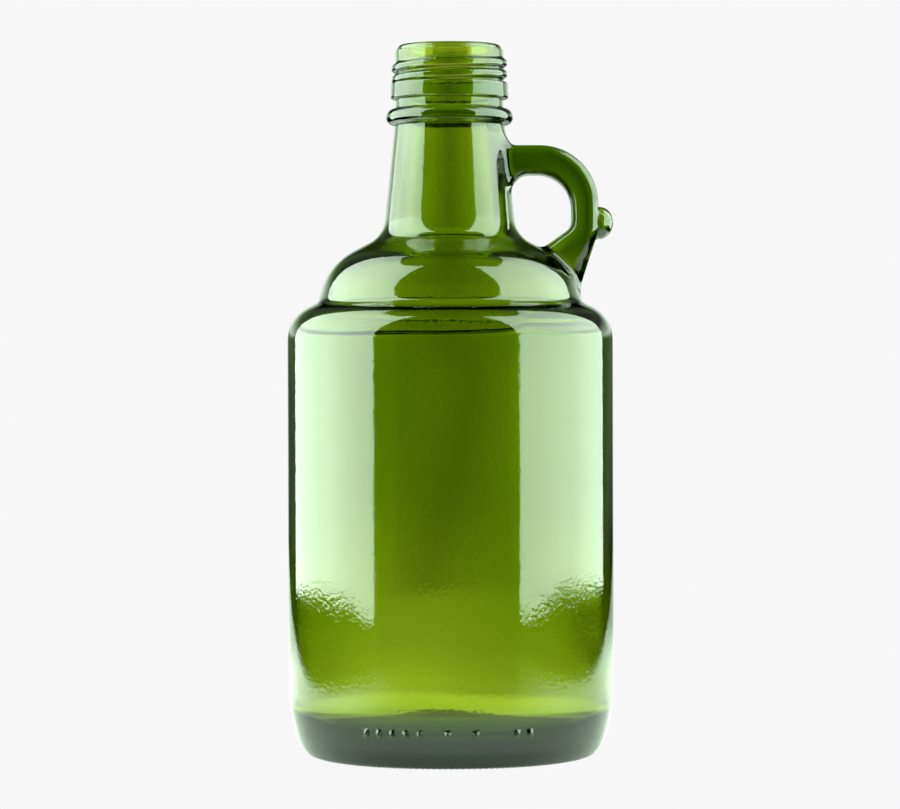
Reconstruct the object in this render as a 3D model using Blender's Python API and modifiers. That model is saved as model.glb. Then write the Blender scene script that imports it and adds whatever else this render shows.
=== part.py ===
"""A 0.75 litre glass jug: a moulded bottle with a screw finish, and the finger loop on its neck.

Metres, +Z up. The origin is the centre of the ring that the bottle stands on. The finger loop
is at +X, in the XZ plane.
"""

import math

import bmesh
import bpy

# Driving dimensions of the bottle.
HEIGHT = 0.2010
BODY_RADIUS = 0.0460
BODY_WALL = 0.0032
BORE_RADIUS = 0.0120
TURN_STEPS = 44
FILLET_ERROR = 0.00015

# The foot: a ring to stand on, the heel outside it and the push-up inside it.
RING_OUTER_RADIUS = 0.0400
RING_INNER_RADIUS = 0.0330
HEEL = ((0.0432, 0.0038), (0.04565, 0.0136), (BODY_RADIUS, 0.0380))
PUSH_UP_RISE = 0.0080
PUSH_UP_STEPS = 5

# The floor inside, as (radius, height, fillet radius) corners: a low cone in a trough.
FLOOR = ((0.0, 0.0131, 0.0), (0.0080, 0.0129, 0.060), (0.0340, 0.0063, 0.005))
FLOOR_CORNER_HEIGHT = 0.0150
FLOOR_CORNER_FILLET = 0.008

# Corners of the shoulder and the neck, as (radius, height) before they are rounded.
SHOULDER_EDGE = (BODY_RADIUS, 0.1240)
GROOVE = (0.0373, 0.1281)
BULGE = (0.0341, 0.13915)
NECK_FOOT = (0.0187, 0.14715)
NECK_TOP = (0.01545, 0.1780)

# The finish: transfer bead, locking band, thread and lip.
ROOT_RADIUS = 0.0153
BEAD_HEIGHT = 0.1805
BEAD_RADIUS = 0.0179
BEAD_HALF_WIDTH = 0.0024
BEAD_STEPS = 4
BAND_BOTTOM = 0.1855
BAND_TOP = 0.1902
BAND_RADIUS = 0.0166
LIP_RADIUS = 0.01495
LIP_BOTTOM = 0.1990
THREAD_CREST_RADIUS = 0.0164
THREAD_RIDGE_RADIUS = 0.00105
THREAD_PITCH = 0.00315
THREAD_MIDDLE_HEIGHT = 0.19295
THREAD_MIDDLE_TURN = 1.0
THREAD_START_TURN = 0.26
THREAD_END_TURN = 2.12
THREAD_FADE_TURNS = 0.09
THREAD_STEPS_A_TURN = 32

# The finger loop. Its outline lies in the XZ plane, as (x, z, fillet radius) corners.
LOOP_TOP = 0.1725
LOOP_UNDERSIDE = 0.1642
LOOP_OUTER = 0.0419
LOOP_INNER = 0.03435
LOOP_OUTER_FILLET = 0.0165
LOOP_INNER_FILLET = 0.0097
LOOP_HALF_THICKNESS = 0.0050
LOOP_EDGE_ROUND = 0.0022
LOOP_OUTLINE = (
    (0.0120, 0.1788, 0.0),
    (0.0176, LOOP_TOP, 0.0025),
    (LOOP_OUTER, LOOP_TOP, LOOP_OUTER_FILLET),
    (LOOP_OUTER, 0.1480, 0.0100),
    (0.0363, 0.1306, 0.0),
    (0.0300, 0.1280, 0.0),
    (0.0215, 0.1401, 0.0),
    (LOOP_INNER, 0.1493, 0.0034),
    (LOOP_INNER, LOOP_UNDERSIDE, LOOP_INNER_FILLET),
    (0.0206, LOOP_UNDERSIDE, 0.0040),
    (0.0130, 0.1568, 0.0),
)
KNOB_CENTRE = (0.0429, 0.0, 0.1505)
KNOB_HALF_SIZES = (0.0033, 0.0035, 0.0046)
KNOB_TILT = math.radians(8)
JOINT_GAP = 0.0003

GLASS_COLOUR = (0.075, 0.145, 0.004, 1.0)
GLASS_ROUGHNESS = 0.03
GLASS_IOR = 1.52


def clear_scene():
    for obj in list(bpy.data.objects):
        bpy.data.objects.remove(obj, do_unlink=True)


def new_collection(name):
    collection = bpy.data.collections.new(name)
    bpy.context.scene.collection.children.link(collection)
    return collection


def glass(name, colour):
    material = bpy.data.materials.new(name)
    material.use_nodes = True
    shader = material.node_tree.nodes["Principled BSDF"]
    shader.inputs["Base Color"].default_value = colour
    shader.inputs["Roughness"].default_value = GLASS_ROUGHNESS
    shader.inputs["Metallic"].default_value = 0.0
    shader.inputs["Transmission Weight"].default_value = 1.0
    shader.inputs["IOR"].default_value = GLASS_IOR
    return material


def rounded(corners, closed=False):
    """The outline through (x, z, fillet radius) corners, with each fillet as an arc."""
    outline = []
    count = len(corners)
    for index, (x, z, fillet) in enumerate(corners):
        if fillet == 0.0 or (not closed and index in (0, count - 1)):
            outline.append((x, z))
            continue
        before = corners[index - 1]
        after = corners[(index + 1) % count]
        to_before = unit(before[0] - x, before[1] - z)
        to_after = unit(after[0] - x, after[1] - z)
        cosine = to_before[0] * to_after[0] + to_before[1] * to_after[1]
        half = math.acos(max(-1.0, min(1.0, cosine))) / 2
        centre_way = unit(to_before[0] + to_after[0], to_before[1] + to_after[1])
        centre_x = x + centre_way[0] * fillet / math.sin(half)
        centre_z = z + centre_way[1] * fillet / math.sin(half)
        reach = fillet / math.tan(half)
        start = math.atan2(
            z + to_before[1] * reach - centre_z, x + to_before[0] * reach - centre_x
        )
        end = math.atan2(
            z + to_after[1] * reach - centre_z, x + to_after[0] * reach - centre_x
        )
        sweep = (end - start + math.pi) % (2 * math.pi) - math.pi
        widest_step = 2 * math.acos(max(0.7, 1 - FILLET_ERROR / fillet))
        steps = math.ceil(abs(sweep) / widest_step)
        for step in range(steps + 1):
            angle = start + sweep * step / steps
            outline.append(
                (centre_x + fillet * math.cos(angle), centre_z + fillet * math.sin(angle))
            )
    return outline


def unit(x, z):
    length = math.hypot(x, z)
    return x / length, z / length


def grown(outline, distance):
    """The open outline moved sideways by a distance, to its left as it runs."""
    moved = []
    last = len(outline) - 1
    for index, (x, z) in enumerate(outline):
        before = outline[max(index - 1, 0)]
        after = outline[min(index + 1, last)]
        along = unit(after[0] - before[0], after[1] - before[1])
        moved.append((x - along[1] * distance, z + along[0] * distance))
    return moved


def push_up():
    """The push-up in section: a shallow dome, from its edge to its top on the axis."""
    sphere_radius = (RING_INNER_RADIUS**2 + PUSH_UP_RISE**2) / (2 * PUSH_UP_RISE)
    section = []
    for step in range(PUSH_UP_STEPS + 1):
        radius = RING_INNER_RADIUS * (1 - step / PUSH_UP_STEPS)
        drop = sphere_radius - math.sqrt(sphere_radius**2 - radius**2)
        section.append((radius, PUSH_UP_RISE - drop))
    return section


def bead():
    """The transfer bead in section: half an ellipse that stands out from the neck."""
    section = []
    for step in range(BEAD_STEPS + 1):
        angle = math.pi / 2 - math.pi * step / BEAD_STEPS
        radius = NECK_TOP[0] + (BEAD_RADIUS - NECK_TOP[0]) * math.cos(angle)
        section.append((radius, BEAD_HEIGHT + BEAD_HALF_WIDTH * math.sin(angle)))
    return section


def outside_section():
    """The outside from the rim down to the standing ring and in under the push-up."""
    finish = rounded(
        (
            (BORE_RADIUS, HEIGHT, 0.0),
            (LIP_RADIUS, HEIGHT, 0.0013),
            (LIP_RADIUS, LIP_BOTTOM, 0.0004),
            (ROOT_RADIUS, LIP_BOTTOM - 0.0006, 0.0004),
            (ROOT_RADIUS, BAND_TOP, 0.0003),
            (BAND_RADIUS, BAND_TOP, 0.0005),
            (BAND_RADIUS, BAND_BOTTOM, 0.0009),
            (ROOT_RADIUS, BAND_BOTTOM, 0.0),
        )
    )
    return finish[1:] + bead() + shoulder_section() + foot_section()


def shoulder_section():
    """The neck and the stepped shoulder, from under the bead down to the wall of the body."""
    corners = (
        NECK_TOP + (0.0,),
        NECK_FOOT + (0.0085,),
        BULGE + (0.0173,),
        GROOVE + (0.0032,),
        SHOULDER_EDGE + (0.0100,),
        HEEL[2] + (0.0,),
    )
    return rounded(corners)[1:-1]


def foot_section():
    heel = rounded(
        (
            SHOULDER_EDGE + (0.0,),
            HEEL[2] + (0.3,),
            HEEL[1] + (0.030,),
            HEEL[0] + (0.009,),
            (RING_OUTER_RADIUS, 0.0, 0.002),
            (RING_INNER_RADIUS, 0.0, 0.0),
        )
    )
    return heel[1:-1] + push_up()


def inside_section():
    """The inside from the middle of its floor up to the rim."""
    inner_radius = BODY_RADIUS - BODY_WALL
    wall = (
        (inner_radius, FLOOR_CORNER_HEIGHT, FLOOR_CORNER_FILLET),
        (inner_radius, SHOULDER_EDGE[1] - 0.0021, 0.0070),
        (GROOVE[0] - 0.0028, GROOVE[1] - 0.0024, 0.0060),
        (BULGE[0] - 0.0027, BULGE[1] - 0.00245, 0.0140),
        (NECK_FOOT[0] - 0.0035, NECK_FOOT[1] - 0.00180, 0.0120),
        (BORE_RADIUS, NECK_TOP[1], 0.0400),
        (BORE_RADIUS, HEIGHT, 0.0008),
        (ROOT_RADIUS, HEIGHT, 0.0),
    )
    return rounded(FLOOR + wall)[:-1]


def turned(name, section, collection):
    """A closed solid of revolution from a section that starts and ends on the axis."""
    mesh = bpy.data.meshes.new(name)
    points = [(radius, 0.0, height) for radius, height in section]
    edges = [(index, index + 1) for index in range(len(points) - 1)]
    mesh.from_pydata(points, edges, [])
    obj = bpy.data.objects.new(name, mesh)
    collection.objects.link(obj)
    screw = obj.modifiers.new("turn", "SCREW")
    screw.axis = "Z"
    screw.steps = TURN_STEPS
    screw.render_steps = TURN_STEPS
    screw.use_merge_vertices = True
    screw.merge_threshold = 0.00001
    return obj


def helper(obj):
    """Marks a cutter, or a piece that is joined to another, as no part of the object itself."""
    obj.hide_render = True
    obj.display_type = "WIRE"
    return obj


def as_mesh(curve_object, collection):
    """Replaces a curve object by a closed mesh of it, with its caps welded on."""
    graph = bpy.context.evaluated_depsgraph_get()
    mesh = bpy.data.meshes.new_from_object(curve_object.evaluated_get(graph))
    work = bmesh.new()
    work.from_mesh(mesh)
    bmesh.ops.remove_doubles(work, verts=work.verts, dist=0.000001)
    bmesh.ops.recalc_face_normals(work, faces=work.faces)
    work.to_mesh(mesh)
    work.free()
    name = curve_object.name
    obj = bpy.data.objects.new(name + "_mesh", mesh)
    obj.matrix_world = curve_object.matrix_world
    collection.objects.link(obj)
    bpy.data.objects.remove(curve_object, do_unlink=True)
    obj.name = name
    return obj


def boolean(obj, other, operation):
    modifier = obj.modifiers.new(operation.lower() + "_" + other.name, "BOOLEAN")
    modifier.operation = operation
    modifier.object = other


def smooth(obj):
    obj.data.shade_smooth()
    obj.data.set_sharp_from_angle(angle=math.radians(40))


def thread(collection):
    """The right-handed thread: a round ridge of two turns that fades out at both ends."""
    curve = bpy.data.curves.new("thread", "CURVE")
    curve.dimensions = "3D"
    curve.bevel_depth = THREAD_RIDGE_RADIUS
    curve.bevel_resolution = 2
    curve.use_fill_caps = True
    turns = THREAD_END_TURN - THREAD_START_TURN
    steps = round(turns * THREAD_STEPS_A_TURN)
    spline = curve.splines.new("POLY")
    spline.points.add(steps)
    middle_radius = THREAD_CREST_RADIUS - THREAD_RIDGE_RADIUS
    for step, point in enumerate(spline.points):
        turn = THREAD_START_TURN + turns * step / steps
        from_end = min(turn - THREAD_START_TURN, THREAD_END_TURN - turn)
        fade = min(1.0, 0.35 + 0.65 * from_end / THREAD_FADE_TURNS)
        angle = 2 * math.pi * turn
        height = THREAD_MIDDLE_HEIGHT + THREAD_PITCH * (turn - THREAD_MIDDLE_TURN)
        radius = middle_radius - THREAD_RIDGE_RADIUS * (1 - fade) * 0.5
        point.co = (radius * math.cos(angle), radius * math.sin(angle), height, 1.0)
        point.radius = fade
    obj = bpy.data.objects.new("thread", curve)
    collection.objects.link(obj)
    return helper(as_mesh(obj, collection))


def make_bottle(parts, helpers):
    bottle = turned("bottle", inside_section() + outside_section(), parts)
    boolean(bottle, thread(helpers), "UNION")
    bottle.data.materials.append(glass("bottle_glass", GLASS_COLOUR))
    smooth(bottle)
    return bottle


def loop_blank(collection):
    """The loop as a plate with rounded edges, long enough to reach into the neck and shoulder."""
    curve = bpy.data.curves.new("handle", "CURVE")
    curve.dimensions = "2D"
    curve.fill_mode = "BOTH"
    curve.extrude = LOOP_HALF_THICKNESS - LOOP_EDGE_ROUND
    curve.bevel_depth = LOOP_EDGE_ROUND
    curve.bevel_resolution = 2
    curve.offset = -LOOP_EDGE_ROUND
    outline = rounded(LOOP_OUTLINE, closed=True)
    spline = curve.splines.new("POLY")
    spline.points.add(len(outline) - 1)
    spline.use_cyclic_u = True
    for point, (x, z) in zip(spline.points, outline):
        point.co = (x, z, 0.0, 1.0)
    obj = bpy.data.objects.new("handle", curve)
    obj.rotation_euler.x = math.pi / 2
    collection.objects.link(obj)
    bpy.context.view_layer.update()
    return as_mesh(obj, collection)


def knob(collection):
    bpy.ops.mesh.primitive_uv_sphere_add(segments=20, ring_count=12, radius=1.0)
    obj = bpy.context.active_object
    obj.name = "knob"
    for holder in list(obj.users_collection):
        holder.objects.unlink(obj)
    collection.objects.link(obj)
    obj.location = KNOB_CENTRE
    obj.scale = KNOB_HALF_SIZES
    obj.rotation_euler.y = KNOB_TILT
    return helper(obj)


def bottle_room(collection):
    """The outside of the neck and shoulder with the joint's gap added, solid to the axis."""
    outline = grown(shoulder_section(), JOINT_GAP)
    top = (NECK_TOP[0] + JOINT_GAP, HEIGHT)
    bottom = (BODY_RADIUS + JOINT_GAP, 0.1)
    section = [(0.0, HEIGHT), top] + outline + [bottom, (0.0, 0.1)]
    return helper(turned("bottle_room", section, collection))


def make_handle(parts, helpers):
    handle = loop_blank(parts)
    boolean(handle, knob(helpers), "UNION")
    boolean(handle, bottle_room(helpers), "DIFFERENCE")
    handle.data.materials.append(glass("handle_glass", GLASS_COLOUR))
    smooth(handle)
    return handle


def main():
    clear_scene()
    parts = new_collection("glass_jug")
    helpers = new_collection("helpers")
    make_bottle(parts, helpers)
    make_handle(parts, helpers)


main()
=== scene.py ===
"""Looks of the green glass jug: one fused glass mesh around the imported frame, and a small studio.

The jug's lengths are in millimetres until its mesh is made. The studio's and the camera's are in
metres, apart from the reach of a softbox. +Z is up, +X is towards the finger loop and the camera
looks along +Y. A table of pairs gives a value at each place, with straight lines between them.
"""

import math

import bmesh
import bpy
import numpy as np
import openvdb
from mathutils import Matrix, Vector


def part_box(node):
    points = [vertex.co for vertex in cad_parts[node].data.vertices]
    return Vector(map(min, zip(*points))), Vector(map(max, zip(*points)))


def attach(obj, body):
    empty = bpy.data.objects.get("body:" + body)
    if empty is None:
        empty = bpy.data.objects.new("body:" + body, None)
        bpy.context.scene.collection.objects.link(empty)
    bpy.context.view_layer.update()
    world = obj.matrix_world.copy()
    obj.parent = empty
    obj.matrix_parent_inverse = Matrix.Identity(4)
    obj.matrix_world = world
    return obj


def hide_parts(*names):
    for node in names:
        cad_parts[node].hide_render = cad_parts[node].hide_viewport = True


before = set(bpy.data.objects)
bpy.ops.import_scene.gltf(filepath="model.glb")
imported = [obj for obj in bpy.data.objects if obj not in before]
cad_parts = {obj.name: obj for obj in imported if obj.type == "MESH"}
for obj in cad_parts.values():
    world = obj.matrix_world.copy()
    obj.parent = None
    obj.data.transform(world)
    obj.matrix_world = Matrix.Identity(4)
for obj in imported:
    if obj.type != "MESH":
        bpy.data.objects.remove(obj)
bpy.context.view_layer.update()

MM = 0.001
BOTTLE_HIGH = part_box("bottle")[1]

# ---------------------------------------------------------------- sizes of the bottle
# A place on the section is (radius, height), and an outline's corner is (radius, height, fillet).
HEIGHT = BOTTLE_HIGH.z / MM
BODY_RADIUS = BOTTLE_HIGH.x / MM
BORE_RADIUS = 12.0

KNURL_HEIGHT = 0.25
RING_OUTER_RADIUS = 40.0
RING_INNER_RADIUS = 33.0
PUSH_UP_EDGE = (RING_INNER_RADIUS - 1.5, KNURL_HEIGHT + 0.8)
PUSH_UP_RISE = 7.4
HEEL = ((43.2, 3.8), (45.65, 13.6), (BODY_RADIUS, 38.0))
SHOULDER_EDGE = (BODY_RADIUS, 124.0)
GROOVE = (37.3, 128.1)
BULGE = (34.1, 139.15)
NECK_FOOT = (18.7, 147.15)
NECK_TOP = (15.45, 178.0)

ROOT_RADIUS = 15.2
BEAD_HEIGHT = 180.6
BEAD_RADIUS = 17.9
BEAD_HALF_WIDTH = 2.4
BAND_BOTTOM = 185.6
BAND_TOP = 190.4
BAND_TOP_RADIUS = 16.4
BAND_BOTTOM_RADIUS = 16.65
LIP_RADIUS = 14.72
LIP_BOTTOM = 199.2

# From the rim down to just above the bead.
FINISH_OUTLINE = (
    (BORE_RADIUS, HEIGHT, 0.0),
    (LIP_RADIUS, HEIGHT, 1.3),
    (LIP_RADIUS, LIP_BOTTOM, 0.4),
    (ROOT_RADIUS, LIP_BOTTOM - 0.6, 0.4),
    (ROOT_RADIUS, BAND_TOP, 0.3),
    (BAND_TOP_RADIUS, BAND_TOP, 0.5),
    (BAND_BOTTOM_RADIUS, BAND_BOTTOM, 0.8),
    (ROOT_RADIUS, BAND_BOTTOM, 0.3),
    (ROOT_RADIUS, BEAD_HEIGHT + BEAD_HALF_WIDTH + 0.3, 0.0),
)
# From just under the bead down to the foot, and in under it.
BODY_OUTLINE = (
    (*NECK_TOP, 0.0),
    (*NECK_FOOT, 8.5),
    (*BULGE, 17.3),
    (*GROOVE, 2.8),
    (*SHOULDER_EDGE, 10.0),
    (*HEEL[2], 300.0),
    (*HEEL[1], 30.0),
    (*HEEL[0], 9.0),
    (RING_OUTER_RADIUS, KNURL_HEIGHT, 2.0),
    (RING_INNER_RADIUS, KNURL_HEIGHT, 1.5),
    (RING_INNER_RADIUS - 4.0, KNURL_HEIGHT + 1.8, 0.0),
)

FLOOR_EDGE = (36.0, 8.4)
FLOOR_RISE = 5.0
FOLD_HEIGHT = 119.4
# From the edge of the floor up the inside, past the sharp fold under the shoulder, to the rim.
CAVITY_OUTLINE = (
    (37.5, 8.0, 4.0),
    (43.5, 11.0, 7.0),
    (43.1, 45.0, 200.0),
    (42.2, 76.0, 200.0),
    (42.25, 105.0, 200.0),
    (42.15, FOLD_HEIGHT - 0.55, 0.05),
    (43.5, FOLD_HEIGHT - 0.05, 0.05),
    (42.15, FOLD_HEIGHT + 0.45, 0.05),
    (41.8, FOLD_HEIGHT + 3.9, 7.0),
    (GROOVE[0] - 2.8, GROOVE[1] - 2.4, 6.0),
    (BULGE[0] - 2.7, BULGE[1] - 2.45, 14.0),
    (NECK_FOOT[0] - 3.5, NECK_FOOT[1] - 1.8, 12.0),
    (BORE_RADIUS, NECK_TOP[1], 40.0),
    (BORE_RADIUS, HEIGHT - 9.0, 60.0),
    (BORE_RADIUS + 0.6, HEIGHT, 0.8),
    (ROOT_RADIUS, HEIGHT, 0.0),
)

THREAD_HEIGHT = 1.1
THREAD_HALF_WIDTH = 1.2
THREAD_PITCH = 3.15
THREAD_MIDDLE_HEIGHT = 192.75
THREAD_START_TURN = 0.26
THREAD_END_TURN = 2.12
THREAD_FADE_TURNS = 0.10

# ---------------------------------------------------------------- sizes of the finger loop
LOOP_TOP = 172.5
LOOP_UNDERSIDE = 164.2
LOOP_OUTER = 41.9
LOOP_INNER = 34.35
# Corners are (across, height, fillet), in the plane through the jug's axis.
LOOP_OUTLINE = (
    (12.0, 178.8, 0.0),
    (17.6, LOOP_TOP, 2.5),
    (LOOP_OUTER, LOOP_TOP, 16.5),
    (LOOP_OUTER, 148.0, 10.0),
    (36.3, 130.6, 0.0),
    (30.0, 128.0, 0.0),
    (21.5, 140.1, 0.0),
    (LOOP_INNER, 149.3, 3.4),
    (LOOP_INNER, LOOP_UNDERSIDE, 9.7),
    (20.6, LOOP_UNDERSIDE, 4.0),
    (13.0, 156.8, 0.0),
)
LOOP_HALF_DEPTH = 5.7
LOOP_TIP_HALF_DEPTH = 1.6
LOOP_TIP_HEIGHT = 130.0
LOOP_TAIL_TOP = 149.0
LOOP_EDGE_ROUND = 2.1
LOOP_TIP_EDGE_ROUND = 4.6
LOOP_TIP_EDGE_HEIGHT = 137.0
LOOP_FACE_CROWN = 0.45
LOOP_HALF_WIDTH = 3.9
KNOB_CENTRE = (42.4, 0.0, 150.5)
KNOB_HALF_SIZES = (3.8, 4.6, 4.6)
KNOB_TILT = math.radians(8)
JOINT_BLEND = 3.0
KNOB_BLEND = 1.2


# ---------------------------------------------------------------- outlines
SECTION_SPACING = 0.05
RELAX_PASSES = 240
# A pair for a ramp is where it leaves 0 and where it reaches 1. While the section is smoothed, the
# finish and the fold are held nearly still: by height, and by distance from the fold.
HELD_SHARE = 0.985
FINISH_HELD = (170.0, 178.0)
FOLD_HELD = (2.0, 1.0)
CAVITY_MOST_RADIUS = 44.0


def ramp(value, start, end):
    """0 at start, 1 at end, a straight line between them and flat beyond both."""
    return np.clip((value - start) / (end - start), 0.0, 1.0)


def eased(share):
    """A share from 0 to 1 that leaves and arrives with no slope."""
    return share * share * (3 - 2 * share)


def looked_up(value, table):
    """The value of a table of (place, value) pairs at a place."""
    return np.interp(value, *zip(*table))


def unit(x, z):
    """The same direction with a length of 1."""
    length = math.hypot(x, z)
    return x / length, z / length


def rounded(corners, closed=False, step=math.radians(2)):
    """The outline through (x, z, fillet radius) corners, with each fillet as an arc."""
    outline = []
    count = len(corners)
    for index, (x, z, fillet) in enumerate(corners):
        if fillet == 0.0 or (not closed and index in (0, count - 1)):
            outline.append((x, z))
            continue
        before = corners[index - 1]
        after = corners[(index + 1) % count]
        to_before = unit(before[0] - x, before[1] - z)
        to_after = unit(after[0] - x, after[1] - z)
        cosine = to_before[0] * to_after[0] + to_before[1] * to_after[1]
        half = math.acos(max(-1.0, min(1.0, cosine))) / 2
        middle = unit(to_before[0] + to_after[0], to_before[1] + to_after[1])
        centre = (x + middle[0] * fillet / math.sin(half), z + middle[1] * fillet / math.sin(half))
        reach = fillet / math.tan(half)
        start = math.atan2(z + to_before[1] * reach - centre[1], x + to_before[0] * reach - centre[0])
        end = math.atan2(z + to_after[1] * reach - centre[1], x + to_after[0] * reach - centre[0])
        sweep = (end - start + math.pi) % (2 * math.pi) - math.pi
        steps = max(2, math.ceil(abs(sweep) / step))
        for i in range(steps + 1):
            angle = start + sweep * i / steps
            outline.append((centre[0] + fillet * math.cos(angle), centre[1] + fillet * math.sin(angle)))
    return outline


def dome(edge, rise, steps=40):
    """A shallow dome in section, from its edge to its top on the axis."""
    edge_radius, edge_height = edge
    sphere = (edge_radius**2 + rise**2) / (2 * rise)
    section = []
    for step in range(steps + 1):
        radius = edge_radius * (1 - step / steps)
        section.append((radius, edge_height + rise - sphere + math.sqrt(sphere**2 - radius**2)))
    return section


def bead(steps=24):
    """The transfer bead in section: half an ellipse that stands out from the neck."""
    section = []
    for step in range(steps + 1):
        angle = math.pi / 2 - math.pi * step / steps
        radius = NECK_TOP[0] + (BEAD_RADIUS - NECK_TOP[0]) * math.cos(angle)
        section.append((radius, BEAD_HEIGHT + BEAD_HALF_WIDTH * math.sin(angle)))
    return section


def outside_section():
    """The outside, from the rim down to the foot and in under the push-up."""
    finish = rounded(FINISH_OUTLINE)
    body = rounded(BODY_OUTLINE)
    return finish[1:] + bead() + body[1:-1] + dome(PUSH_UP_EDGE, PUSH_UP_RISE)


def inside_section():
    """The inside, from the middle of its floor up to the rim."""
    floor = tuple((*point, 0.0) for point in reversed(dome(FLOOR_EDGE, FLOOR_RISE)))
    return rounded(floor + CAVITY_OUTLINE)[:-1]


def evenly(points, spacing):
    """The polyline with points a fixed distance apart."""
    points = np.asarray(points, float)
    steps = np.hypot(*np.diff(points, axis=0).T)
    keep = np.concatenate([[True], steps > 1e-6])
    points = points[keep]
    along = np.concatenate([[0.0], np.cumsum(np.hypot(*np.diff(points, axis=0).T))])
    count = max(2, round(along[-1] / spacing))
    places = np.linspace(0.0, along[-1], count + 1)
    return np.column_stack([np.interp(places, along, points[:, i]) for i in (0, 1)])


def relaxed(points, weight, passes):
    """The polyline smoothed, so that its curvature has no steps.

    Each pass moves a point half way to the middle of its neighbours. A weight of 0 holds it still.
    """
    points = points.copy()
    for _ in range(passes):
        middle = (points[:-2] + points[2:]) / 2
        points[1:-1] += weight[1:-1, None] * (middle - points[1:-1]) / 2
    return points


def whole_section():
    """The smoothed section of the bottle, inside then outside, and which points are outside."""
    section = evenly(inside_section() + outside_section(), SECTION_SPACING)
    height = section[:, 1]
    finish = ramp(height, *FINISH_HELD)
    fold = ramp(np.abs(height - FOLD_HEIGHT), *FOLD_HELD)
    fold *= section[:, 0] < CAVITY_MOST_RADIUS
    weight = (1.0 - HELD_SHARE * finish) * (1.0 - HELD_SHARE * fold)
    section = relaxed(section, weight, RELAX_PASSES)
    section[:, 0] = np.maximum(section[:, 0], 0.0)
    outside = np.arange(len(section)) > int(np.argmax(section[:, 1]))
    return section, outside


def thread_height(height, azimuth):
    """How far the thread stands out from the root at a height and azimuth."""
    raised = np.zeros(np.broadcast(height, azimuth).shape)
    for whole_turn in range(3):
        turn = whole_turn + azimuth / (2 * math.pi)
        middle = THREAD_MIDDLE_HEIGHT + THREAD_PITCH * (turn - 1.0)
        from_end = np.minimum(turn - THREAD_START_TURN, THREAD_END_TURN - turn)
        fade = eased(ramp(from_end, 0.0, THREAD_FADE_TURNS))
        ridge = np.exp(-((np.abs(height - middle) / THREAD_HALF_WIDTH) ** 4))
        raised = np.maximum(raised, THREAD_HEIGHT * fade * ridge)
    return raised


# ---------------------------------------------------------------- the bottle's mesh
COLUMNS = 360
MOST_TURN = math.radians(4)
MOST_ROW = 2.2
MOST_THREAD_ROW = 0.14
THREAD_ZONE = (185.0, 199.5)

SEAM_OFFSETS = np.radians((-0.9, -0.6, -0.45, -0.3, -0.15, 0.15, 0.3, 0.45, 0.6, 0.9))
SEAM_HEIGHT = 0.06
SEAM_HALF_WIDTH = 0.22
SEAM_BOTTOM = 3.0

# Each ripple is (height, waves round the bottle, millimetres up it for a radian, phase). The sign of
# the millimetres is the way that it winds.
RIPPLES = ((0.14, 3, 31.0, 0.6), (0.09, 5, -23.0, 0.0), (0.07, 2, 17.0, 0.0))
OUTSIDE_RIPPLE = 0.06
RIPPLE_BOTTOM = (14.0, 28.0)
RIPPLE_TOP = (118.0, 108.0)

# The fold strays up and down in a slow and a quick wave, and curls up at its right-hand end.
FOLD_REACH = 3.0
SLOW_STRAY, SLOW_WAVES, SLOW_PHASE = 0.25, 2.6, -0.3
QUICK_STRAY, QUICK_WAVES = 0.12, 9
CURL_RISE = 1.6
CURL_START = (0.30, 0.50)
CURL_END = (2.2, 1.0)


def chosen_rows(section, outside):
    """Rows along the section: close where it turns or carries the thread, far apart where it is straight."""
    step = np.diff(section, axis=0)
    length = np.hypot(*step.T)
    angle = np.unwrap(np.arctan2(step[:, 1], step[:, 0]))
    turn = np.abs(np.gradient(angle))
    height = section[:-1, 1]
    threaded = outside[:-1] & (height > THREAD_ZONE[0]) & (height < THREAD_ZONE[1])
    limit = np.where(threaded, MOST_THREAD_ROW, MOST_ROW)
    cost = np.concatenate([[0.0], np.cumsum(turn / MOST_TURN + length / limit)])
    places = np.interp(np.linspace(0.0, cost[-1], round(cost[-1]) + 1), cost, np.arange(len(cost)))
    rows = np.column_stack([np.interp(places, np.arange(len(section)), section[:, i]) for i in (0, 1)])
    return rows, np.interp(places, np.arange(len(section)), outside.astype(float)) > 0.5


def azimuths():
    """Column azimuths: even all round, with more at the two mould seams."""
    even = np.arange(COLUMNS) * 2 * math.pi / COLUMNS
    seams = np.concatenate([SEAM_OFFSETS % (2 * math.pi), SEAM_OFFSETS + math.pi])
    return np.unique(np.round(np.concatenate([even, seams]), 9))


def bottle_radii(rows, outside, azimuth):
    """The radius at every row and column, with thread, seams and the slow ripple of blown glass."""
    radius = np.repeat(rows[:, :1], len(azimuth), axis=1)
    height = rows[:, 1:2]
    around = azimuth[None, :]
    on_thread = outside[:, None] & (height > THREAD_ZONE[0]) & (height < THREAD_ZONE[1])
    raised = ROOT_RADIUS + thread_height(height, around)
    radius = np.where(on_thread, np.maximum(radius, raised), radius)
    from_seam = np.abs(np.sin(around)) * radius
    seam = SEAM_HEIGHT * np.exp(-((from_seam / SEAM_HALF_WIDTH) ** 2))
    seamed = outside[:, None] & (height > SEAM_BOTTOM)
    radius = radius + np.where(seamed, seam, 0.0)
    body = ramp(height, *RIPPLE_BOTTOM) * ramp(height, *RIPPLE_TOP)
    ripple = sum(
        size * np.sin(waves * around + phase + height / length) for size, waves, length, phase in RIPPLES
    )
    return radius + np.where(outside[:, None], OUTSIDE_RIPPLE, 1.0) * body * ripple


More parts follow.
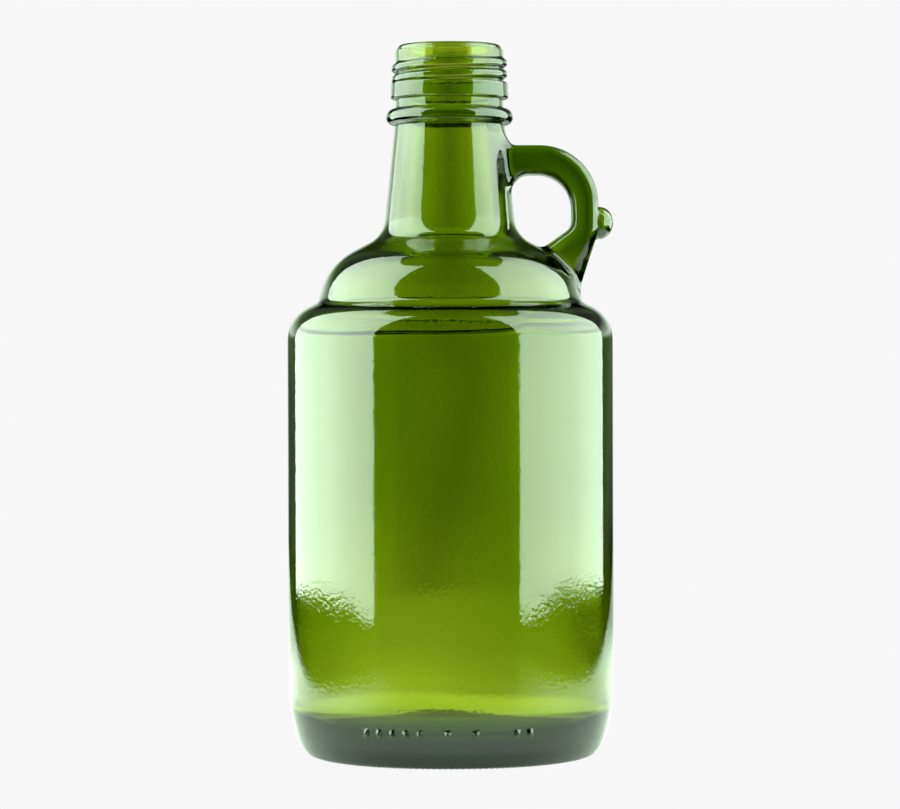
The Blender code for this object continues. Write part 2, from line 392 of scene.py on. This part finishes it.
def fold_wander(rows, outside, azimuth):
    """How far the fold inside the shoulder strays up and down round the bottle."""
    near = np.exp(-(((rows[:, 1:2] - FOLD_HEIGHT) / FOLD_REACH) ** 2)) * ~outside[:, None]
    from_front = (azimuth[None, :] + math.pi / 2 + math.pi) % (2 * math.pi) - math.pi
    slow = SLOW_STRAY * np.sin(SLOW_WAVES * from_front + SLOW_PHASE) * np.cos(from_front / 2)
    quick = QUICK_STRAY * np.sin(QUICK_WAVES * azimuth[None, :])
    curl = ramp(from_front, *CURL_START) * ramp(from_front, *CURL_END)
    return near * (slow + quick + CURL_RISE * curl * curl)


def lathe(rows, outside, radius, azimuth):
    """Vertices and faces of a closed turned mesh whose first and last rows are on the axis."""
    count = len(azimuth)
    height = (rows[:, 1:2] + fold_wander(rows, outside, azimuth))[1:-1]
    body = radius[1:-1]
    ring_points = np.stack([body * np.cos(azimuth), body * np.sin(azimuth), height], axis=-1)
    ends = np.array([[0.0, 0.0, rows[0, 1]], [0.0, 0.0, rows[-1, 1]]])
    points = np.concatenate([ends, ring_points.reshape(-1, 3)])
    rings = np.arange(len(body) * count).reshape(len(body), count) + 2
    after = np.roll(rings, -1, axis=1)
    quads = np.stack([rings[:-1], rings[1:], after[1:], after[:-1]], axis=-1).reshape(-1, 4)
    first = np.column_stack([np.zeros(count, int), rings[0], after[0]])
    last = np.column_stack([np.ones(count, int), after[-1], rings[-1]])
    return points, quads[:, ::-1], np.concatenate([first, last])[:, ::-1]


def mesh_object(name, points, *face_sets):
    """A mesh object from points in millimetres and any number of face arrays."""
    mesh = bpy.data.meshes.new(name)
    faces = [face for faces in face_sets for face in faces.tolist()]
    mesh.from_pydata((points * MM).tolist(), [], faces)
    mesh.validate()
    obj = bpy.data.objects.new(name, mesh)
    bpy.context.scene.collection.objects.link(obj)
    return obj


def face_outwards(obj):
    """Turns the faces round if the mesh is inside out."""
    work = bmesh.new()
    work.from_mesh(obj.data)
    if work.calc_volume(signed=True) < 0:
        bmesh.ops.reverse_faces(work, faces=work.faces)
    work.to_mesh(obj.data)
    work.free()


def make_bottle_blank(section, outside):
    """The turned bottle with its thread and seams, and without its loop and marks."""
    rows, row_outside = chosen_rows(section, outside)
    azimuth = azimuths()
    radius = bottle_radii(rows, row_outside, azimuth)
    obj = mesh_object("bottle_blank", *lathe(rows, row_outside, radius, azimuth))
    face_outwards(obj)
    return obj


# ---------------------------------------------------------------- the finger loop's surface
PLATE_BLUR = 2.0
PLATE_BLUR_REACH = 6
NECK_SAMPLES = 1400
NECK_SAMPLED = (112.0, 176.5)
NECK_MEASURED = (60.0, 177.5)
LEAST_SLOPE = 0.2
SLOPE_STEP = 0.02


class Plate:
    """A smooth signed distance to the loop's outline in the XZ plane, negative inside it."""

    cell = 0.15
    low = np.array((6.0, 118.0))
    cells = (320, 460)

    def __init__(self, outline):
        x = self.low[0] + self.cell * np.arange(self.cells[0])
        z = self.low[1] + self.cell * np.arange(self.cells[1])
        gx, gz = np.meshgrid(x, z, indexing="ij")
        nearest = np.full(gx.shape, np.inf)
        inside = np.zeros(gx.shape, bool)
        ends = np.roll(outline, -1, axis=0)
        for (ax, az), (bx, bz) in zip(outline, ends):
            ex, ez = bx - ax, bz - az
            share = np.clip(((gx - ax) * ex + (gz - az) * ez) / (ex * ex + ez * ez), 0, 1)
            away = np.hypot(gx - ax - share * ex, gz - az - share * ez)
            nearest = np.minimum(nearest, away)
            if az != bz:
                crosses = (az > gz) != (bz > gz)
                inside ^= crosses & (gx < ax + ex * (gz - az) / ez)
        self.values = self.blurred(np.where(inside, -nearest, nearest))

    @staticmethod
    def blurred(values):
        """The values with a Gaussian blur, which rounds the creases of a plain distance."""
        reach = np.arange(-PLATE_BLUR_REACH, PLATE_BLUR_REACH + 1)
        kernel = np.exp(-(reach**2) / (2 * PLATE_BLUR**2))
        kernel /= kernel.sum()
        for axis in (0, 1):
            margins = [(PLATE_BLUR_REACH,) * 2 if side == axis else (0, 0) for side in (0, 1)]
            padded = np.pad(values, margins, mode="edge")
            places = np.arange(values.shape[axis])
            shifted = [np.take(padded, places + i, axis=axis) for i in range(len(kernel))]
            values = sum(share * moved for share, moved in zip(kernel, shifted))
        return values

    def __call__(self, x, z):
        """The distance at points, by a cubic B-spline, so that its slope is smooth."""
        u = (x - self.low[0]) / self.cell
        v = (z - self.low[1]) / self.cell
        i = np.clip(np.floor(u).astype(int), 1, self.cells[0] - 3)
        j = np.clip(np.floor(v).astype(int), 1, self.cells[1] - 3)
        total = np.zeros(np.shape(x))
        for a, wa in enumerate(self.weights(u - i)):
            for b, wb in enumerate(self.weights(v - j)):
                total += wa * wb * self.values[i + a - 1, j + b - 1]
        return total

    @staticmethod
    def weights(t):
        """The shares of four neighbours in a cubic B-spline."""
        return (
            (1 - t) ** 3 / 6,
            (3 * t**3 - 6 * t**2 + 4) / 6,
            (-3 * t**3 + 3 * t**2 + 3 * t + 1) / 6,
            t**3 / 6,
        )


def blended(a, b, reach):
    """The union of two signed distances with a soft fillet."""
    near = np.maximum(reach - np.abs(a - b), 0.0) / reach
    return np.minimum(a, b) - near**3 * reach / 6


def slope_of(field, p):
    """How steeply a field rises at points, along each axis."""
    slopes = [
        (field(p + offset) - field(p - offset)) / (2 * SLOPE_STEP) for offset in np.eye(3) * SLOPE_STEP
    ]
    return np.stack(slopes, axis=-1)


class Glass:
    """The outside of the neck, shoulder and loop as one signed distance, in millimetres."""

    def __init__(self, section, outside):
        self.plate = Plate(np.array(rounded(LOOP_OUTLINE, closed=True)))
        bottom, top = NECK_MEASURED
        wall = section[outside & (section[:, 1] > bottom) & (section[:, 1] < top)][::-1]
        order = np.argsort(wall[:, 1], kind="stable")
        height = np.linspace(*NECK_SAMPLED, NECK_SAMPLES)
        radius = np.interp(height, wall[order, 1], wall[order, 0])
        self.height = height
        self.radius = radius
        self.tilt = 1 / np.hypot(1.0, np.gradient(radius, height))

    def bottle(self, p):
        """The neck and the shoulder."""
        radius = np.hypot(p[..., 0], p[..., 1])
        z = p[..., 2]
        return (radius - np.interp(z, self.height, self.radius)) * np.interp(z, self.height, self.tilt)

    def loop(self, p):
        """The loop's plate, with a crowned face, rounded edges and a tail that thins to its tip."""
        flat = self.plate(p[..., 0], p[..., 2])
        rise = eased(ramp(p[..., 2], LOOP_TIP_HEIGHT, LOOP_TAIL_TOP))
        depth = LOOP_TIP_HALF_DEPTH + (LOOP_HALF_DEPTH - LOOP_TIP_HALF_DEPTH) * rise
        middle = ramp(-flat, 0.0, LOOP_HALF_WIDTH)
        depth = depth - LOOP_FACE_CROWN * (1 - middle) ** 2
        tip = ramp(p[..., 2], LOOP_TAIL_TOP, LOOP_TIP_EDGE_HEIGHT)
        inset = LOOP_EDGE_ROUND + (LOOP_TIP_EDGE_ROUND - LOOP_EDGE_ROUND) * tip
        drop = np.minimum(inset, depth)
        across = np.maximum(flat / inset + 1, 0)
        along = np.maximum((np.abs(p[..., 1]) - depth) / drop + 1, 0)
        level = np.hypot(across, along)
        slope = np.maximum(np.hypot(across / inset, along / drop), LEAST_SLOPE)
        corner = level * (level - 1) / slope
        plain = np.maximum(flat, np.abs(p[..., 1]) - depth)
        return np.where((across > 0) & (along > 0), corner, plain)

    def knob(self, p):
        """The tilted ellipsoid on the outside of the loop."""
        local = p - np.array(KNOB_CENTRE)
        c, s = math.cos(KNOB_TILT), math.sin(KNOB_TILT)
        sizes = KNOB_HALF_SIZES
        a = (local[..., 0] * c - local[..., 2] * s) / sizes[0]
        b = local[..., 1] / sizes[1]
        d = (local[..., 0] * s + local[..., 2] * c) / sizes[2]
        level = np.sqrt(a * a + b * b + d * d)
        slope = np.sqrt((a / sizes[0]) ** 2 + (b / sizes[1]) ** 2 + (d / sizes[2]) ** 2)
        return level * (level - 1) / np.maximum(slope, 1e-6)

    def handle(self, p):
        """The loop with its knob."""
        return blended(self.loop(p), self.knob(p), KNOB_BLEND)

    def __call__(self, p):
        return blended(self.bottle(p), self.handle(p), JOINT_BLEND)


PATCH_LOW = np.array((8.0, -15.0, 120.0))
PATCH_CELL = 0.4
PATCH_CELLS = (112, 76, 150)
PATCH_SINK = 0.03
PATCH_SHELL = 1.2
PATCH_REACH = 7.0
SNAP_PASSES = 4
MOST_SNAP = 0.2


def make_loop_patch(glass):
    """The loop and its fillets as a closed mesh whose skirt lies just under the bottle's surface."""

    def patch(p):
        shell = np.maximum(glass(p) + PATCH_SINK, -(glass.bottle(p) + PATCH_SHELL))
        return np.maximum(shell, glass.handle(p) - PATCH_REACH)

    axes = [PATCH_LOW[i] + PATCH_CELL * np.arange(PATCH_CELLS[i]) for i in range(3)]
    values = patch(np.stack(np.meshgrid(*axes, indexing="ij"), axis=-1))
    grid = openvdb.FloatGrid()
    grid.copyFromArray((values / PATCH_CELL).astype(np.float32))
    points, quads = grid.convertToQuads(0.0)
    points = np.asarray(points, float) * PATCH_CELL + PATCH_LOW
    for _ in range(SNAP_PASSES):
        slope = slope_of(patch, points)
        size = np.maximum((slope**2).sum(-1, keepdims=True), LEAST_SLOPE)
        points -= np.clip(patch(points)[:, None] * slope / size, -MOST_SNAP, MOST_SNAP)
    obj = mesh_object("loop_patch", points, np.asarray(quads, int))
    face_outwards(obj)
    return obj


# ---------------------------------------------------------------- small raised marks
DOT_HEIGHT = 10.0
DOT_HALF_WIDTH = 0.85
DOT_HALF_HEIGHT = 1.0
DOT_RISE = 0.8
DOT_PITCH = math.radians(4.98)
DOT_MIDDLE = math.radians(-1.24)
DOT_PLACES = (-6, -5, -4, -3, -2, 0, 2, 5, 6)
DOT_SUBDIVISIONS = 4
HEEL_TOP = 30.0
KNURL_BARS = 150
KNURL_RADIUS = 37.6
KNURL_HALF_LENGTH = 1.9
KNURL_HALF_WIDTH = 0.62
KNURL_SUBDIVISIONS = 3


def ball(subdivisions):
    """Points and faces of a ball of radius 1."""
    work = bmesh.new()
    bmesh.ops.create_icosphere(work, subdivisions=subdivisions, radius=1.0)
    points = np.array([v.co for v in work.verts])
    faces = np.array([[v.index for v in f.verts] for f in work.faces])
    work.free()
    return points, faces


def ellipsoid(subdivisions, sizes, turn, radius, azimuth, height):
    """Points and faces of a turned ellipsoid at a place round the jug."""
    points, faces = ball(subdivisions)
    centre = (radius * math.cos(azimuth), radius * math.sin(azimuth), height)
    return (points * sizes) @ np.array(turn).T + np.array(centre), faces


def dots(section, outside):
    """Nine dots round the heel, turned to lie flat on it."""
    heel = section[outside & (section[:, 1] < HEEL_TOP) & (section[:, 0] > RING_OUTER_RADIUS)]
    nearest = int(np.argmin(np.abs(heel[:, 1] - DOT_HEIGHT)))
    along = heel[nearest + 3] - heel[nearest - 3]
    tilt = math.atan2(along[0], along[1])
    sizes = (DOT_RISE, DOT_HALF_WIDTH, DOT_HALF_HEIGHT)
    for place in DOT_PLACES:
        azimuth = -math.pi / 2 + DOT_MIDDLE + place * DOT_PITCH
        turn = Matrix.Rotation(azimuth, 3, "Z") @ Matrix.Rotation(tilt, 3, "Y")
        yield ellipsoid(DOT_SUBDIVISIONS, sizes, turn, heel[nearest, 0], azimuth, DOT_HEIGHT)


def knurling():
    """The bars of the knurled foot, which stand out under its ring and carry the jug."""
    sizes = (KNURL_HALF_LENGTH, KNURL_HALF_WIDTH, KNURL_HEIGHT * 2)
    for bar in range(KNURL_BARS):
        azimuth = 2 * math.pi * (bar + 0.5) / KNURL_BARS
        turn = Matrix.Rotation(azimuth, 3, "Z")
        yield ellipsoid(KNURL_SUBDIVISIONS, sizes, turn, KNURL_RADIUS, azimuth, KNURL_HEIGHT * 2)


def make_marks(section, outside):
    """The dots and the knurling as one mesh of small closed ellipsoids."""
    clouds, face_sets, count = [], [], 0
    for points, faces in [*dots(section, outside), *knurling()]:
        clouds.append(points)
        face_sets.append(faces + count)
        count += len(points)
    obj = mesh_object("marks", np.concatenate(clouds), np.concatenate(face_sets))
    face_outwards(obj)
    return obj


# ---------------------------------------------------------------- the glass as one mesh
# How far inside the patch, and how near the exact surface, a point has to be to take its normal.
NORMAL_MARGIN = 2.0
NORMAL_REACH_MARGIN = 1.0
NORMAL_NEAR = 0.1


def joined(blank, others):
    """The union of the blank and the other closed meshes, as one mesh object."""
    for other in others:
        modifier = blank.modifiers.new(other.name, "BOOLEAN")
        modifier.operation = "UNION"
        modifier.solver = "MANIFOLD"
        modifier.object = other
    graph = bpy.context.evaluated_depsgraph_get()
    mesh = bpy.data.meshes.new_from_object(blank.evaluated_get(graph))
    mesh.name = "jug_glass"
    for obj in [blank, *others]:
        bpy.data.objects.remove(obj, do_unlink=True)
    obj = bpy.data.objects.new("jug_glass", mesh)
    bpy.context.scene.collection.objects.link(obj)
    return obj


def set_normals(obj, glass):
    """Smooth shading. Round the loop the normals follow the exact surface, so the joints don't show."""
    mesh = obj.data
    mesh.shade_smooth()
    points = np.empty(len(mesh.vertices) * 3, np.float32)
    mesh.vertices.foreach_get("co", points)
    points = points.reshape(-1, 3).astype(float) / MM
    low = PATCH_LOW + NORMAL_MARGIN
    high = PATCH_LOW + PATCH_CELL * np.array(PATCH_CELLS) - NORMAL_MARGIN
    boxed = np.flatnonzero(((points > low) & (points < high)).all(-1))
    on_surface = np.abs(glass(points[boxed])) < NORMAL_NEAR
    near = boxed[on_surface & (glass.handle(points[boxed]) < PATCH_REACH - NORMAL_REACH_MARGIN)]
    slope = slope_of(glass, points[near])
    normals = np.zeros((len(points), 3))
    normals[near] = slope / np.linalg.norm(slope, axis=-1, keepdims=True)
    mesh.normals_split_custom_set_from_vertices(normals.tolist())


def make_jug():
    """The whole jug as one closed mesh, in place of both of the frame's nodes."""
    section, outside = whole_section()
    glass = Glass(section, outside)
    blank = make_bottle_blank(section, outside)
    jug = joined(blank, [make_loop_patch(glass), make_marks(section, outside)])
    set_normals(jug, glass)
    jug.data.materials.clear()
    jug.data.materials.append(green_glass())
    jug.data.polygons.foreach_set("material_index", [0] * len(jug.data.polygons))
    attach(jug, "root")
    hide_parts("bottle", "handle")


# ---------------------------------------------------------------- material
GLASS_IOR = 1.52
GLASS_DENSITY = 900.0
GLASS_TINT = (0.6856, 0.781, 0.0, 1.0)
PEEL_SCALE = 950.0
PEEL_DETAIL = 2.0
PEEL_DEPTH = 0.000018


def green_glass():
    """Clear green glass that takes its colour from its thickness, with a faint orange-peel surface."""
    material = bpy.data.materials.new("green_glass")
    material.use_nodes = True
    nodes = material.node_tree.nodes
    links = material.node_tree.links
    shader = nodes["Principled BSDF"]
    shader.inputs["Base Color"].default_value = (1.0, 1.0, 1.0, 1.0)
    shader.inputs["Transmission Weight"].default_value = 1.0
    shader.inputs["IOR"].default_value = GLASS_IOR
    shader.inputs["Roughness"].default_value = 0.0
    volume = nodes.new("ShaderNodeVolumeAbsorption")
    volume.inputs["Color"].default_value = GLASS_TINT
    volume.inputs["Density"].default_value = GLASS_DENSITY
    links.new(volume.outputs["Volume"], nodes["Material Output"].inputs["Volume"])
    place = nodes.new("ShaderNodeTexCoord")
    peel = nodes.new("ShaderNodeTexNoise")
    peel.inputs["Scale"].default_value = PEEL_SCALE
    peel.inputs["Detail"].default_value = PEEL_DETAIL
    links.new(place.outputs["Object"], peel.inputs["Vector"])
    bump = nodes.new("ShaderNodeBump")
    bump.inputs["Strength"].default_value = 1.0
    bump.inputs["Distance"].default_value = PEEL_DEPTH
    links.new(peel.outputs["Fac"], bump.inputs["Height"])
    links.new(bump.outputs["Normal"], shader.inputs["Normal"])
    return material


# ---------------------------------------------------------------- the studio
# Each sheet is seen by one kind of ray only, so what the camera sees, what the glass reflects and
# what shows through the glass are set apart from one another.
BACKGROUND = 0.93
REFLECTED_TINT = (0.99, 1.25, 0.985, 1.0)
PLAIN = (1.0, 1.0, 1.0, 1.0)
BLACK = (0.0, 0.0, 0.0, 1.0)

BACKDROP_RADIUS = 8.0
ROOM_RADIUS = 9.0
TENT_RADIUS = 10.0
BALL_SEGMENTS = 96
BALL_RINGS = 180
GROUND_HALF_SIZE = 7.0
GROUND_LEVEL = -0.0002

# A softbox's stops are (degrees round from the camera's side, millimetres from the jug's wall, strength).
LEFT_PANEL = (
    (55.4, 376, 7.4),
    (61, 384, 7.8),
    (76, 488, 9.1),
    (95, 535, 9.7),
    (117, 550, 7.6),
    (135, 550, 5.5),
    (142.5, 545, 5.0),
)
RIGHT_PANEL = (
    (49.5, 410, 6.8),
    (59, 420, 7.4),
    (85, 585, 8.0),
    (111, 585, 7.2),
    (130, 585, 5.2),
    (136.4, 585, 4.8),
)
PANEL_COLUMNS = 40
PANEL_HEIGHTS = (0.012, 0.15, 0.205, 0.225, 0.26, 0.29, 0.45, 0.6, 0.95, 1.3)
PANEL_BY_HEIGHT = (
    (0.0, 1.0),
    (0.205, 1.0),
    (0.225, 0.75),
    (0.26, 0.75),
    (0.29, 1.0),
    (0.6, 0.85),
    (1.3, 0.6),
)
PANEL_SEEN_THROUGH = 0.28
# Degrees at the camera between the jug's middle and the part of its wall that mirrors a panel.
PANEL_VIEW_ANGLE = 2.4

TABLE_LEVEL = -0.0004
TABLE_HALF_WIDTH = 0.335
TABLE_COLUMNS = 135
TABLE_NEAR, TABLE_JUG_PAST, TABLE_FAR = -0.2, 0.12, 1.156
TABLE_CLOSE_STEP = 0.005
TABLE_FAR_ROWS = 60
TABLE_REFLECTED = (
    (-0.200, 0.10),
    (-0.150, 0.45),
    (-0.100, 1.15),
    (-0.060, 1.75),
    (-0.030, 1.75),
    (0.000, 1.50),
    (0.165, 1.90),
    (0.280, 1.70),
    (0.420, 1.30),
    (0.590, 1.10),
    (0.810, 0.92),
    (1.156, 0.60),
)
TABLE_SEEN_THROUGH = (
    (-0.200, 0.10),
    (-0.100, 1.00),
    (0.000, 1.40),
    (0.060, 1.60),
    (0.165, 1.45),
    (0.280, 1.20),
    (0.420, 1.02),
    (0.590, 0.92),
    (0.810, 0.90),
    (1.100, 0.85),
    (1.156, 0.80),
)
# The glow under the jug is a painted shadow of the jug on the table, in reflections and seen through the
# glass.
UNDER_JUG_SHADOW_REFLECTED = ((0.0, 0.25), (0.1, 0.25))
UNDER_JUG_SHADOW_SEEN_THROUGH = ((-0.036, 0.52), (0.01, 0.62), (0.022, 0.80), (0.036, 1.10))
CLEAR_OF_JUG = (0.036, 0.050)
LEFT_SIDE_GLOW = 1.3
RIGHT_SIDE_GLOW = 0.6
SIDE_ACROSS = (0.09, 0.16)
SIDE_BEHIND = (0.33, 0.21)
SIDE_BEFORE = (TABLE_NEAR, -0.1)
FAR_RIGHT_LOSS = 0.4
FAR_RIGHT_ACROSS = (0.06, 0.13)
FAR_RIGHT_BEHIND = (0.30, 0.45)
TABLE_EDGE = ((-0.2, 0.24), (0.10, 0.27), (0.25, 0.30), (0.40, 0.33))
TABLE_EDGE_SOFTNESS = 0.03
LEFT_EDGE_SHIFT = 0.02

# The tent and the room go by how far a direction leans up, to a side and away from the camera. Each
# is a part of 1.
TENT_BY_HEIGHT = (
    (-1.0, 0.22),
    (-0.10, 0.60),
    (-0.06, 0.80),
    (-0.052, 0.66),
    (-0.044, 0.52),
    (0.0, 0.50),
    (0.05, 0.50),
    (0.20, 0.46),
    (0.45, 0.50),
    (0.60, 0.20),
    (1.0, 0.03),
)
TENT_LOW_BY_SIDE = (
    (0.0, 1.0),
    (0.03, 1.3),
    (0.07, 1.9),
    (0.12, 2.1),
    (0.20, 2.6),
    (0.30, 2.5),
    (0.40, 1.0),
    (0.60, 0.6),
    (1.0, 0.5),
)
TENT_HIGH_BY_SIDE = ((0.0, 1.2), (0.10, 1.2), (0.14, 0.7), (0.20, 0.35), (0.28, 0.05), (1.0, 0.03))
TENT_HIGH_UP = (0.20, 0.32)
CARD_GLOW = 0.36
CARD_AWAY = (0.972, 0.978)
CARD_TOP = (0.30, 0.20)
WALL_GLOW = 1.2
WALL_BOTTOM = (0.04, 0.09)
WALL_TOP = (0.30, 0.10)
WALL_SIDE = (0.04, 0.14)
WALL_AWAY = (0.2, 0.5)
EDGE_GLOW = 0.10
EDGE_BOTTOM = (-0.05, -0.03)
EDGE_NEAR_SIDE = (0.2, 0.3)
EDGE_FAR_SIDE = (0.75, 0.65)
EDGE_AWAY = (0.0, 0.2)


def glow(name, tint):
    """Emission that reads its strength from the mesh's own glow attribute."""
    material = bpy.data.materials.new(name)
    material.use_nodes = True
    nodes = material.node_tree.nodes
    nodes.remove(nodes["Principled BSDF"])
    strength = nodes.new("ShaderNodeAttribute")
    strength.attribute_name = "glow"
    shader = nodes.new("ShaderNodeEmission")
    shader.inputs["Color"].default_value = tint
    material.node_tree.links.new(strength.outputs["Fac"], shader.inputs["Strength"])
    material.node_tree.links.new(shader.outputs[0], nodes["Material Output"].inputs["Surface"])
    return material


def light(name, points, faces, strengths, camera=False, glossy=False, transmission=False):
    """A glowing piece of the studio that only the rays asked for can see."""
    mesh = bpy.data.meshes.new(name)
    mesh.from_pydata([tuple(p) for p in points], [], faces)
    mesh.attributes.new("glow", "FLOAT", "POINT").data.foreach_set("value", list(strengths))
    mesh.materials.append(glow(name, PLAIN if camera or transmission else REFLECTED_TINT))
    mesh.shade_smooth()
    obj = bpy.data.objects.new(name, mesh)
    bpy.context.scene.collection.objects.link(obj)
    obj.visible_camera = camera
    obj.visible_glossy = glossy
    obj.visible_transmission = transmission
    obj.visible_diffuse = False
    obj.visible_shadow = False
    obj.visible_volume_scatter = False
    return obj


def sheet(columns, rows):
    """The faces of a grid of points that is given column by column."""
    faces = []
    for i in range(columns - 1):
        for j in range(rows - 1):
            k = i * rows + j
            faces.append((k, k + 1, k + rows + 1, k + rows))
    return faces


def softbox(name, side, stops):
    """A tall curved panel beside the jug, at full strength in reflections and dim through the glass."""
    angles, reaches, glows = zip(*stops)
    radius = BODY_RADIUS * MM
    points = []
    strengths = []
    for azimuth in np.linspace(angles[0], angles[-1], PANEL_COLUMNS):
        reach = np.interp(azimuth, angles, reaches) * MM
        strength = np.interp(azimuth, angles, glows)
        turn = math.radians(azimuth)
        mirror = math.radians((azimuth - PANEL_VIEW_ANGLE) / 2)
        x = side * (radius * math.sin(mirror) + reach * math.sin(turn))
        y = -radius * math.cos(mirror) - reach * math.cos(turn)
        for z in PANEL_HEIGHTS:
            points.append((x, y, z))
            strengths.append(strength * looked_up(z, PANEL_BY_HEIGHT))
    faces = sheet(PANEL_COLUMNS, len(PANEL_HEIGHTS))
    light(name, points, faces, strengths, glossy=True)
    dim = [PANEL_SEEN_THROUGH * strength for strength in strengths]
    light(name + "_seen_through", points, faces, dim, transmission=True)


def table_glow(x, y, along, under):
    """Painted light on the table: bright beside the jug and behind it, where the softboxes light it, fading
    towards the camera and the sides, and dimmer under it as a painted shadow of the jug.
    """
    beside = ramp(abs(x), *SIDE_ACROSS) * ramp(y, *SIDE_BEHIND) * ramp(y, *SIDE_BEFORE)
    side = beside * (RIGHT_SIDE_GLOW if x > 0 else LEFT_SIDE_GLOW)
    far_right = 1.0 - FAR_RIGHT_LOSS * ramp(x, *FAR_RIGHT_ACROSS) * ramp(y, *FAR_RIGHT_BEHIND)
    # Near the jug the painted light of the table gives way to the painted shadow under it.
    clear = ramp(math.hypot(x, y), *CLEAR_OF_JUG)
    reach = looked_up(y, TABLE_EDGE) - (LEFT_EDGE_SHIFT if x < 0 else 0.0)
    edge = ramp(abs(x), reach, reach - TABLE_EDGE_SOFTNESS)
    return ((looked_up(y, along) * far_right + side) * clear + looked_up(y, under) * (1.0 - clear)) * edge


def make_table():
    """The table's glow, a painted lit table with a painted shadow under the jug, with close rows round the
    jug and wider ones behind it.
    """
    across = np.linspace(-TABLE_HALF_WIDTH, TABLE_HALF_WIDTH, TABLE_COLUMNS)
    close = np.arange(TABLE_NEAR, TABLE_JUG_PAST, TABLE_CLOSE_STEP)
    along = np.concatenate([close, np.linspace(TABLE_JUG_PAST, TABLE_FAR, TABLE_FAR_ROWS)])
    points = [(x, y, TABLE_LEVEL) for x in across for y in along]
    faces = sheet(len(across), len(along))
    reflected = [table_glow(x, y, TABLE_REFLECTED, UNDER_JUG_SHADOW_REFLECTED) for x, y, z in points]
    seen = [table_glow(x, y, TABLE_SEEN_THROUGH, UNDER_JUG_SHADOW_SEEN_THROUGH) for x, y, z in points]
    light("table", points, faces, reflected, glossy=True)
    light("table_seen_through", points, faces, seen, transmission=True)


def ball_light(name, radius, strength, **seen):
    """A glowing ball round the whole scene, whose strength is a function of the direction."""
    work = bmesh.new()
    bmesh.ops.create_uvsphere(work, u_segments=BALL_SEGMENTS, v_segments=BALL_RINGS, radius=radius)
    points = [v.co.copy() for v in work.verts]
    faces = [[v.index for v in f.verts] for f in work.faces]
    work.free()
    light(name, points, faces, [float(strength(p / radius)) for p in points], **seen)


def tent(direction):
    """What is seen through the glass: dim straight behind the jug, brighter at both sides of that."""
    across = abs(direction.x)
    low = looked_up(across, TENT_LOW_BY_SIDE) if direction.y > 0 else 1.0
    high = looked_up(across, TENT_HIGH_BY_SIDE)
    share = ramp(direction.z, *TENT_HIGH_UP)
    return looked_up(direction.z, TENT_BY_HEIGHT) * (low * (1.0 - share) + high * share)


def room(direction):
    """What reflections see past the panels: a card straight behind, pale walls beside it, dim edges."""
    side, away, up = abs(direction.x), direction.y, direction.z
    card = CARD_GLOW * ramp(away, *CARD_AWAY) * ramp(up, *CARD_TOP)
    wall = WALL_GLOW * ramp(up, *WALL_BOTTOM) * ramp(up, *WALL_TOP)
    wall *= ramp(side, *WALL_SIDE) * ramp(away, *WALL_AWAY)
    edge = EDGE_GLOW * ramp(up, *EDGE_BOTTOM) * ramp(away, *EDGE_AWAY)
    edge *= ramp(side, *EDGE_NEAR_SIDE) * ramp(side, *EDGE_FAR_SIDE)
    return max(card, wall, edge)


def make_studio():
    """The backdrop and the ground that the camera sees, and the lights that only the glass shows."""
    ball_light("backdrop", BACKDROP_RADIUS, lambda direction: BACKGROUND, camera=True)
    corners = ((-1, -1), (1, -1), (1, 1), (-1, 1))
    ground = [(x * GROUND_HALF_SIZE, y * GROUND_HALF_SIZE, GROUND_LEVEL) for x, y in corners]
    light("floor", ground, [(0, 1, 2, 3)], [BACKGROUND] * 4, camera=True)
    ball_light("tent", TENT_RADIUS, tent, transmission=True)
    ball_light("room", ROOM_RADIUS, room, glossy=True)
    softbox("softbox_left", -1, LEFT_PANEL)
    softbox("softbox_right", 1, RIGHT_PANEL)
    make_table()
    world = bpy.data.worlds.new("studio")
    world.use_nodes = True
    world.node_tree.nodes["Background"].inputs["Color"].default_value = BLACK
    bpy.context.scene.world = world


# ---------------------------------------------------------------- camera
EYE_HEIGHT = 0.112
EYE_DISTANCE = 1.020
AIM = Vector((-0.00012, 0.0, 0.0993))
# Lens, sensor width in millimetres, and how far the photograph is turned.
FOCAL_LENGTH = 144.0
SENSOR_WIDTH = 36.0
ROLL = math.radians(-0.17)
CLIP_START = 0.05
CLIP_END = 100.0


def make_camera():
    """The photograph's camera: low, about a metre away, and nearly level."""
    data = bpy.data.cameras.new("camera")
    data.lens = FOCAL_LENGTH
    data.sensor_width = SENSOR_WIDTH
    data.clip_start = CLIP_START
    data.clip_end = CLIP_END
    camera = bpy.data.objects.new("camera", data)
    bpy.context.scene.collection.objects.link(camera)
    camera.location = (AIM.x, -EYE_DISTANCE, EYE_HEIGHT)
    facing = (AIM - camera.location).to_track_quat("-Z", "Y")
    camera.rotation_euler = (facing.to_matrix() @ Matrix.Rotation(ROLL, 3, "Z")).to_euler()
    bpy.context.scene.camera = camera


def set_view():
    """Colours as they are, without a film look."""
    settings = bpy.context.scene.view_settings
    settings.view_transform = "Standard"
    settings.look = "None"


make_camera()
make_jug()
make_studio()
set_view()
